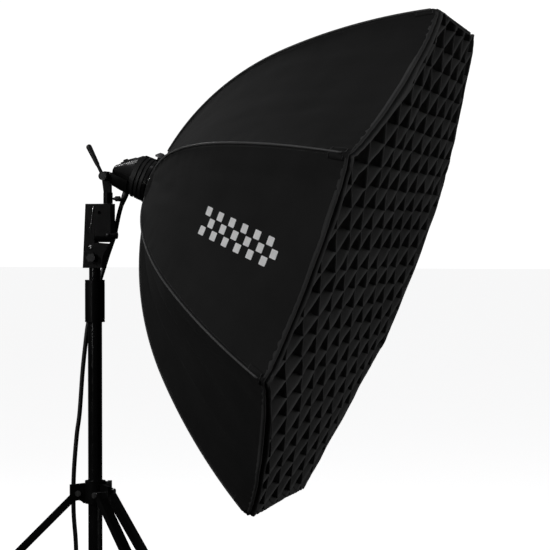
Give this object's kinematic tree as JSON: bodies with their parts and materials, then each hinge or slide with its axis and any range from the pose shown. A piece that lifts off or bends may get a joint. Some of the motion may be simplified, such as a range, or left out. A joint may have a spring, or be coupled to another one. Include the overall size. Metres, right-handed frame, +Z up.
{
  "type": "studio softbox",
  "caption": "Octagonal fabric softbox with diamond grid on a flash head, tilting mount, swivel adapter, telescopic three-leg stand and head cable.",
  "frame": {"origin": "on the floor under the axis of the stand's column", "axes": "+Z up, -Y towards the front of the softbox, +X to the right seen from behind the light"},
  "size_m": [1.2034, 1.4184, 1.6337],
  "materials": {
    "black_metal": "satin black",
    "cast_black": "fine textured black powder coat",
    "steel": "zinc plated",
    "stud_metal": "machined",
    "knob_plastic": "moulded black",
    "rubber": "matt black",
    "cable": "matt black jacket",
    "tie_strap": "hook and loop tape",
    "clamp_plastic": "grey moulded",
    "switch_plastic": "white moulded",
    "clear_glass": "clear",
    "flash_glass": "clear quartz",
    "lamp_glass": "clear, warm",
    "ceramic": "cream ceramic",
    "ring_aluminium": "satin anodised",
    "black_fabric": "coated black nylon, silver inside",
    "binding_tape": "ribbed dark grey tape",
    "diffuser_fabric": "white diffusion nylon",
    "grid_fabric": "black webbing"
  },
  "bodies": {
    "stand": {"column_tube": "black_metal", "column_collar": "cast_black", "base_collar": "cast_black", "base_plug": "knob_plastic", "brace_pins": "steel", "cable_tube": "cable", "cable_coil": "cable", "cable_tie": "tie_strap", "cable_plug": "knob_plastic"},
    "collar_knob": {"collar_screw": "steel", "collar_knob": "knob_plastic"},
    "riser": {"riser_tube": "black_metal", "spigot": "stud_metal"},
    "leg_collar": {"leg_collar": "cast_black", "leg_bolts": "steel"},
    "leg_collar_knob": {"leg_collar_screw": "steel", "leg_collar_knob": "knob_plastic"},
    "leg_1": {"leg_1": "black_metal", "foot_1": "rubber"},
    "leg_2": {"leg_2": "black_metal", "foot_2": "rubber"},
    "leg_3": {"leg_3": "black_metal", "foot_3": "rubber"},
    "brace_1": {"brace_1": "black_metal"},
    "brace_2": {"brace_2": "black_metal"},
    "brace_3": {"brace_3": "black_metal"},
    "swivel_lower": {"swivel_lower": "cast_black"},
    "spigot_knob": {"spigot_knob": "knob_plastic"},
    "swivel_upper": {"swivel_upper": "cast_black", "top_stud": "stud_metal", "tilt_socket": "cast_black"},
    "swivel_lever": {"swivel_bolt": "steel", "swivel_lever": "knob_plastic"},
    "socket_knob": {"socket_knob": "knob_plastic"},
    "tilt_lever": {"tilt_bolt": "steel", "tilt_lever": "knob_plastic", "lever_grip": "rubber"},
    "head": {"head_keel": "cast_black", "head_shell": "black_metal", "head_barrel": "black_metal", "grip_ring": "rubber", "adapter_ring": "black_metal", "control_panel": "knob_plastic", "glass_dome": "clear_glass", "flash_tube": "flash_glass", "modelling_lamp": "lamp_glass", "lamp_socket": "ceramic", "cable_gland": "rubber"},
    "power_switch": {"power_switch": "switch_plastic"},
    "dimmer_dial": {"dimmer_dial": "knob_plastic"},
    "softbox": {"speedring": "ring_aluminium", "rod_ferrules": "steel", "rods": "steel", "outer_shell": "black_fabric", "rear_cuff": "black_fabric", "rim_binding": "binding_tape", "inner_baffle": "diffuser_fabric", "front_diffuser": "diffuser_fabric", "softgrid": "grid_fabric"},
    "clamp_knob": {"clamp_knob": "clamp_plastic"}
  },
  "joints": [
    {"name": "leg_fold", "type": "slide", "parent": "stand", "child": "leg_collar", "axis": [0, 0, 1], "range_m": [0, 0.2388]},
    {"name": "leg_1_hinge", "type": "hinge", "parent": "leg_collar", "child": "leg_1", "pos_m": [0.04136, -0.00729, 0.515], "axis": [0.1736, 0.9848, 0], "range_deg": [0, 43.6]},
    {"name": "brace_1_hinge", "type": "hinge", "parent": "stand", "child": "brace_1", "pos_m": [0.03348, -0.0059, 0.095], "axis": [0.1736, 0.9848, 0], "range_deg": [-52.64, 0]},
    {"name": "leg_2_hinge", "type": "hinge", "parent": "leg_collar", "child": "leg_2", "pos_m": [-0.01436, 0.03947, 0.515], "axis": [-0.9397, -0.342, 0], "range_deg": [0, 43.6]},
    {"name": "brace_2_hinge", "type": "hinge", "parent": "stand", "child": "brace_2", "pos_m": [-0.01163, 0.03195, 0.095], "axis": [-0.9397, -0.342, 0], "range_deg": [-52.64, 0]},
    {"name": "leg_3_hinge", "type": "hinge", "parent": "leg_collar", "child": "leg_3", "pos_m": [-0.027, -0.03217, 0.515], "axis": [0.766, -0.6428, 0], "range_deg": [0, 43.6]},
    {"name": "brace_3_hinge", "type": "hinge", "parent": "stand", "child": "brace_3", "pos_m": [-0.02185, -0.02605, 0.095], "axis": [0.766, -0.6428, 0], "range_deg": [-52.64, 0]},
    {"name": "leg_collar_knob_turn", "type": "hinge", "parent": "leg_collar", "child": "leg_collar_knob", "pos_m": [0.01026, -0.02819, 0.533], "axis": [0.342, -0.9397, 0], "range_deg": [0, 360]},
    {"name": "collar_knob_turn", "type": "hinge", "parent": "stand", "child": "collar_knob", "pos_m": [0.02828, 0.01001, 0.985], "axis": [0.9426, 0.3338, 0], "range_deg": [0, 360]},
    {"name": "riser_slide", "type": "slide", "parent": "stand", "child": "riser", "axis": [0, 0, 1], "range_m": [0, 0.7], "deforming": ["cable_tube"]},
    {"name": "pan", "type": "hinge", "parent": "riser", "child": "swivel_lower", "pos_m": [0, 0, 1.08], "axis": [0, 0, 1], "range_deg": [-170, 170]},
    {"name": "spigot_knob_turn", "type": "hinge", "parent": "swivel_lower", "child": "spigot_knob", "pos_m": [-0.02, 0, 1.086], "axis": [-1, 0, 0], "range_deg": [0, 360]},
    {"name": "swivel_tilt", "type": "hinge", "parent": "swivel_lower", "child": "swivel_upper", "pos_m": [0, -0.02, 1.14], "axis": [0, 1, 0], "range_deg": [-90, 90]},
    {"name": "swivel_lever_turn", "type": "hinge", "parent": "swivel_upper", "child": "swivel_lever", "pos_m": [0, -0.05, 1.14], "axis": [0, 1, 0], "range_deg": [-45, 45]},
    {"name": "socket_knob_turn", "type": "hinge", "parent": "swivel_upper", "child": "socket_knob", "pos_m": [0, -0.05, 1.228], "axis": [0, -1, 0], "range_deg": [0, 360]},
    {"name": "tilt_lever_turn", "type": "hinge", "parent": "swivel_upper", "child": "tilt_lever", "pos_m": [-0.019, -0.03048, 1.28221], "axis": [1, 0, 0], "range_deg": [-30, 45]},
    {"name": "head_tilt", "type": "hinge", "parent": "swivel_upper", "child": "head", "pos_m": [0, -0.03048, 1.28221], "axis": [1, 0, 0], "range_deg": [-75, 8]},
    {"name": "power_switch_rock", "type": "hinge", "parent": "head", "child": "power_switch", "pos_m": [0, -0.09694, 1.32139], "axis": [1, 0, 0], "range_deg": [-16, 0]},
    {"name": "dimmer_turn", "type": "hinge", "parent": "head", "child": "dimmer_dial", "pos_m": [0, -0.0807, 1.31639], "axis": [0, 0.294, 0.9558], "range_deg": [0, 270]},
    {"name": "softbox_turn", "type": "hinge", "parent": "head", "child": "softbox", "pos_m": [0, -0.1647, 1.262], "axis": [0, -0.9342, -0.3567], "continuous": true},
    {"name": "clamp_knob_turn", "type": "hinge", "parent": "head", "child": "clamp_knob", "pos_m": [0, -0.16874, 1.33004], "axis": [0, -0.3567, 0.9342], "range_deg": [0, 360]}
  ],
  "couplings": [
    {"joint": "leg_1_hinge", "follows": "leg_fold", "rad_per_m": 3.1863},
    {"joint": "brace_1_hinge", "follows": "leg_fold", "rad_per_m": -3.8466},
    {"joint": "leg_2_hinge", "follows": "leg_fold", "rad_per_m": 3.1863},
    {"joint": "brace_2_hinge", "follows": "leg_fold", "rad_per_m": -3.8466},
    {"joint": "leg_3_hinge", "follows": "leg_fold", "rad_per_m": 3.1863},
    {"joint": "brace_3_hinge", "follows": "leg_fold", "rad_per_m": -3.8466}
  ]
}
